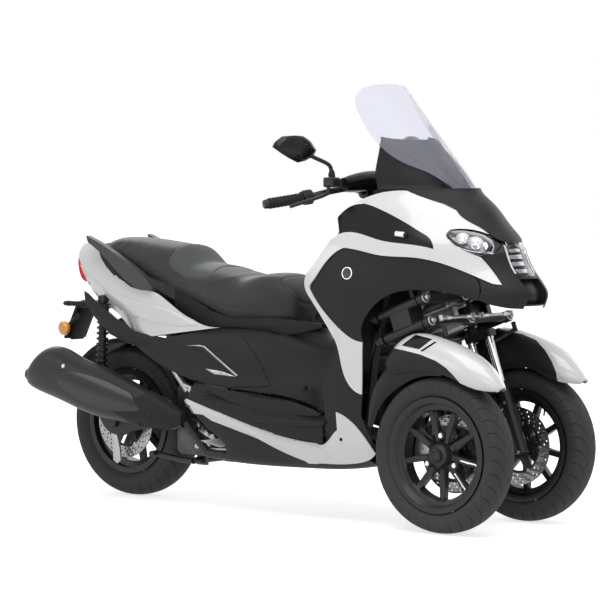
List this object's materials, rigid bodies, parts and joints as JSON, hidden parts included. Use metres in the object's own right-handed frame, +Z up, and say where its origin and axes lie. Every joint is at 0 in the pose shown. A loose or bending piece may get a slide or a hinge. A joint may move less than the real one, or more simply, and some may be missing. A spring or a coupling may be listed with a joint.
{
  "type": "reverse trike",
  "caption": "Leaning reverse trike: paired steered front wheels on a parallelogram linkage, one driven rear wheel, windscreen, stepped seat and full bodywork.",
  "frame": {"origin": "on the ground, on the centre plane, 868 mm behind the front axle and 727 mm ahead of the rear axle", "axes": "+X forwards, +Y to the rider's left, +Z up"},
  "size_m": [2.26, 0.8176, 1.495],
  "materials": {
    "white_paint": "gloss",
    "dark_gloss": "satin",
    "dark_plastic": "grained",
    "black_metal": "satin",
    "dark_metal": "satin",
    "alloy": "cast",
    "brake_steel": "ground",
    "tyre": "matt",
    "grip_rubber": "matt",
    "seat_cover": "grained",
    "screen": "clear",
    "clear_lens": "clear",
    "red_lens": "clear",
    "amber_lens": "clear"
  },
  "bodies": {
    "chassis": {"tilt_bracket": "alloy", "main_frame": "dark_metal", "engine_block": "alloy", "drive_case": "alloy", "swingarm": "alloy", "silencer": "dark_metal", "silencer_shield": "dark_metal", "rear_shocks": "dark_metal", "rear_mudguard": "dark_plastic", "rear_indicators": "amber_lens", "tail_panels": "white_paint", "tail_lamp": "red_lens", "rear_trims": "dark_plastic", "grab_rails": "alloy", "storage_box": "dark_plastic", "side_covers": "dark_gloss", "leg_shield": "dark_plastic", "upper_fairings": "white_paint", "lower_fairings": "dark_gloss", "side_pods": "dark_gloss", "headlamps": "clear_lens", "nose_panel": "dark_gloss", "belly_panels": "white_paint", "under_tray": "dark_plastic", "footboards": "dark_plastic", "cockpit_cowl": "dark_plastic", "instrument_panel": "dark_plastic", "windscreen": "screen", "radiator": "dark_metal", "control_box": "dark_plastic"},
    "handlebar": {"handlebar": "dark_metal", "grips": "grip_rubber", "hand_controls": "dark_metal", "mirrors": "dark_plastic", "bar_cover": "dark_plastic"},
    "seat": {"seat_pad": "seat_cover"},
    "upper_arm": {"upper_arm": "dark_metal"},
    "lower_arm": {"lower_arm": "dark_metal"},
    "post_right": {"post_right": "dark_metal"},
    "post_left": {"post_left": "dark_metal"},
    "fork_right": {"fork_right": "alloy", "fender_right": "white_paint", "inner_guard_right": "dark_plastic"},
    "fork_left": {"fork_left": "alloy", "fender_left": "white_paint", "inner_guard_left": "dark_plastic"},
    "wheel_right": {"front_rim_right": "black_metal", "front_tyre_right": "tyre", "front_disc_right": "brake_steel"},
    "wheel_left": {"front_rim_left": "black_metal", "front_tyre_left": "tyre", "front_disc_left": "brake_steel"},
    "wheel_rear": {"rear_rim": "black_metal", "rear_tyre": "tyre", "rear_disc": "brake_steel"},
    "steering_link": {"steering_link": "alloy"},
    "centre_stand": {"centre_stand": "dark_metal"}
  },
  "joints": [
    {"name": "lean", "type": "hinge", "parent": "chassis", "child": "upper_arm", "pos_m": [0.66717, 0, 0.7386], "axis": [0.9397, 0, 0.342], "range_deg": [-35, 35]},
    {"name": "lower_arm_pivot", "type": "hinge", "parent": "chassis", "child": "lower_arm", "pos_m": [0.69453, 0, 0.66342], "axis": [0.9397, 0, 0.342], "range_deg": [-36, 36]},
    {"name": "post_right_pivot", "type": "hinge", "parent": "upper_arm", "child": "post_right", "pos_m": [0.66717, -0.219, 0.7386], "axis": [0.9397, 0, 0.342], "range_deg": [-36, 36]},
    {"name": "post_left_pivot", "type": "hinge", "parent": "upper_arm", "child": "post_left", "pos_m": [0.66717, 0.219, 0.7386], "axis": [0.9397, 0, 0.342], "range_deg": [-36, 36]},
    {"name": "steering", "type": "hinge", "parent": "chassis", "child": "handlebar", "pos_m": [0.4, 0, 1.11], "axis": [-0.342, 0, 0.9397], "range_deg": [-30, 30]},
    {"name": "fork_right_steer", "type": "hinge", "parent": "post_right", "child": "fork_right", "pos_m": [0.70001, -0.14, 0.64839], "axis": [-0.342, 0, 0.9397], "range_deg": [-31, 31]},
    {"name": "fork_left_steer", "type": "hinge", "parent": "post_left", "child": "fork_left", "pos_m": [0.70001, 0.14, 0.64839], "axis": [-0.342, 0, 0.9397], "range_deg": [-31, 31]},
    {"name": "link_slide", "type": "slide", "parent": "lower_arm", "child": "steering_link", "axis": [0, 1, 0], "range_m": [-0.07, 0.07]},
    {"name": "wheel_right_spin", "type": "hinge", "parent": "fork_right", "child": "wheel_right", "pos_m": [0.868, -0.235, 0.262], "axis": [0, 1, 0], "continuous": true},
    {"name": "wheel_left_spin", "type": "hinge", "parent": "fork_left", "child": "wheel_left", "pos_m": [0.868, 0.235, 0.262], "axis": [0, 1, 0], "continuous": true},
    {"name": "wheel_rear_spin", "type": "hinge", "parent": "chassis", "child": "wheel_rear", "pos_m": [-0.727, 0, 0.276], "axis": [0, 1, 0], "continuous": true},
    {"name": "seat_hinge", "type": "hinge", "parent": "chassis", "child": "seat", "pos_m": [0.132, 0, 0.646], "axis": [0, 1, 0], "range_deg": [0, 60]},
    {"name": "centre_stand_pivot", "type": "hinge", "parent": "chassis", "child": "centre_stand", "pos_m": [-0.34, 0, 0.158], "axis": [0, 1, 0], "range_deg": [-70, 0]}
  ],
  "couplings": [
    {"joint": "lower_arm_pivot", "follows": "lean", "ratio": 1},
    {"joint": "post_right_pivot", "follows": "lean", "ratio": -1},
    {"joint": "post_left_pivot", "follows": "lean", "ratio": -1},
    {"joint": "fork_right_steer", "follows": "steering", "ratio": 1},
    {"joint": "fork_left_steer", "follows": "steering", "ratio": 1},
    {"joint": "link_slide", "follows": "steering", "m_per_rad": 0.131}
  ]
}
